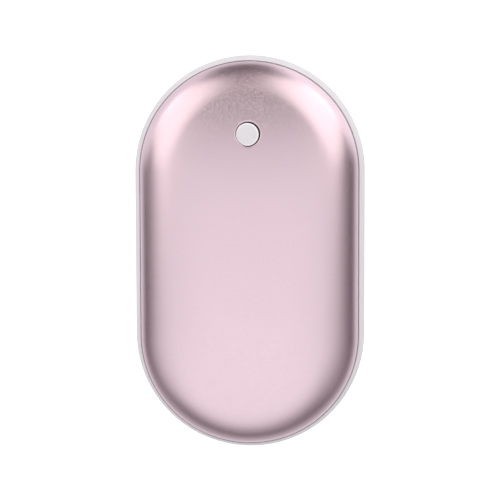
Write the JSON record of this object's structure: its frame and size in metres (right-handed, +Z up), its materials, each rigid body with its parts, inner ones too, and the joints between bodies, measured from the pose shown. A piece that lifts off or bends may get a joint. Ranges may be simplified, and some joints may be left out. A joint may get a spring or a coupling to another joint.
{
  "type": "rechargeable hand warmer",
  "caption": "Pocket hand warmer: a long pebble of two rose aluminium shells on a pale plastic band, with a push button, a charging socket and an output socket.",
  "frame": {"origin": "on the surface it lies on, under the middle of the body", "axes": "+X across, +Y along the body towards the push button, +Z up out of the front face"},
  "size_m": [0.058, 0.0991, 0.026],
  "materials": {
    "rose_aluminium": "satin, bead-blasted and anodised rose pink",
    "band_plastic": "satin, pale grey-white",
    "button_plastic": "satin, pale grey-white",
    "dark_plastic": "moulded",
    "socket_plastic": "moulded",
    "amber_film": "polyimide film",
    "white_foam": "closed-cell foam",
    "chip_black": "moulded epoxy",
    "green_board": "solder mask",
    "plated_steel": "nickel plated",
    "led_lens": "clear epoxy",
    "cell_wrap": "shrink-wrapped steel can",
    "ferrite": "pressed ferrite",
    "capacitor_tan": "fired",
    "red_jacket": "insulated wire",
    "black_jacket": "insulated wire",
    "grey_jacket": "insulated wire",
    "yellow_jacket": "insulated wire"
  },
  "bodies": {
    "housing": {"front_shell": "rose_aluminium", "back_shell": "rose_aluminium", "mid_frame": "band_plastic", "front_liner": "dark_plastic", "back_liner": "dark_plastic", "front_heater_film": "amber_film", "back_heater_film": "amber_film", "front_foam_pad": "white_foam", "back_foam_pad": "white_foam", "front_thermistor": "chip_black", "back_thermistor": "chip_black", "button_board": "green_board", "switch_body": "plated_steel", "heat_led": "led_lens", "charge_led": "led_lens", "button_board_screw_1": "plated_steel", "button_board_screw_2": "plated_steel", "cell_cradle": "dark_plastic", "battery_cell_left": "cell_wrap", "battery_cell_right": "cell_wrap", "cell_tab_plus": "plated_steel", "cell_tab_minus": "plated_steel", "chassis_screw_1": "plated_steel", "chassis_screw_2": "plated_steel", "chassis_screw_3": "plated_steel", "chassis_screw_4": "plated_steel", "main_board": "green_board", "board_screw_1": "plated_steel", "board_screw_2": "plated_steel", "usb_a_shell": "plated_steel", "usb_a_tongue": "socket_plastic", "charging_socket_shell": "plated_steel", "charging_socket_tongue": "socket_plastic", "inductor": "ferrite", "boost_chip": "chip_black", "charge_chip": "chip_black", "capacitor_1": "capacitor_tan", "capacitor_2": "capacitor_tan", "battery_lead_plus": "red_jacket", "battery_lead_minus": "black_jacket", "button_lead": "grey_jacket", "front_heater_lead": "yellow_jacket", "back_heater_lead": "yellow_jacket"},
    "button": {"button_cap": "button_plastic", "switch_plunger": "dark_plastic"}
  },
  "joints": [
    {"name": "button_press", "type": "slide", "parent": "housing", "child": "button", "axis": [0, 0, -1], "range_m": [0, 0.0003], "stiffness_N_per_m": 2000, "springref_m": -0.0003}
  ]
}
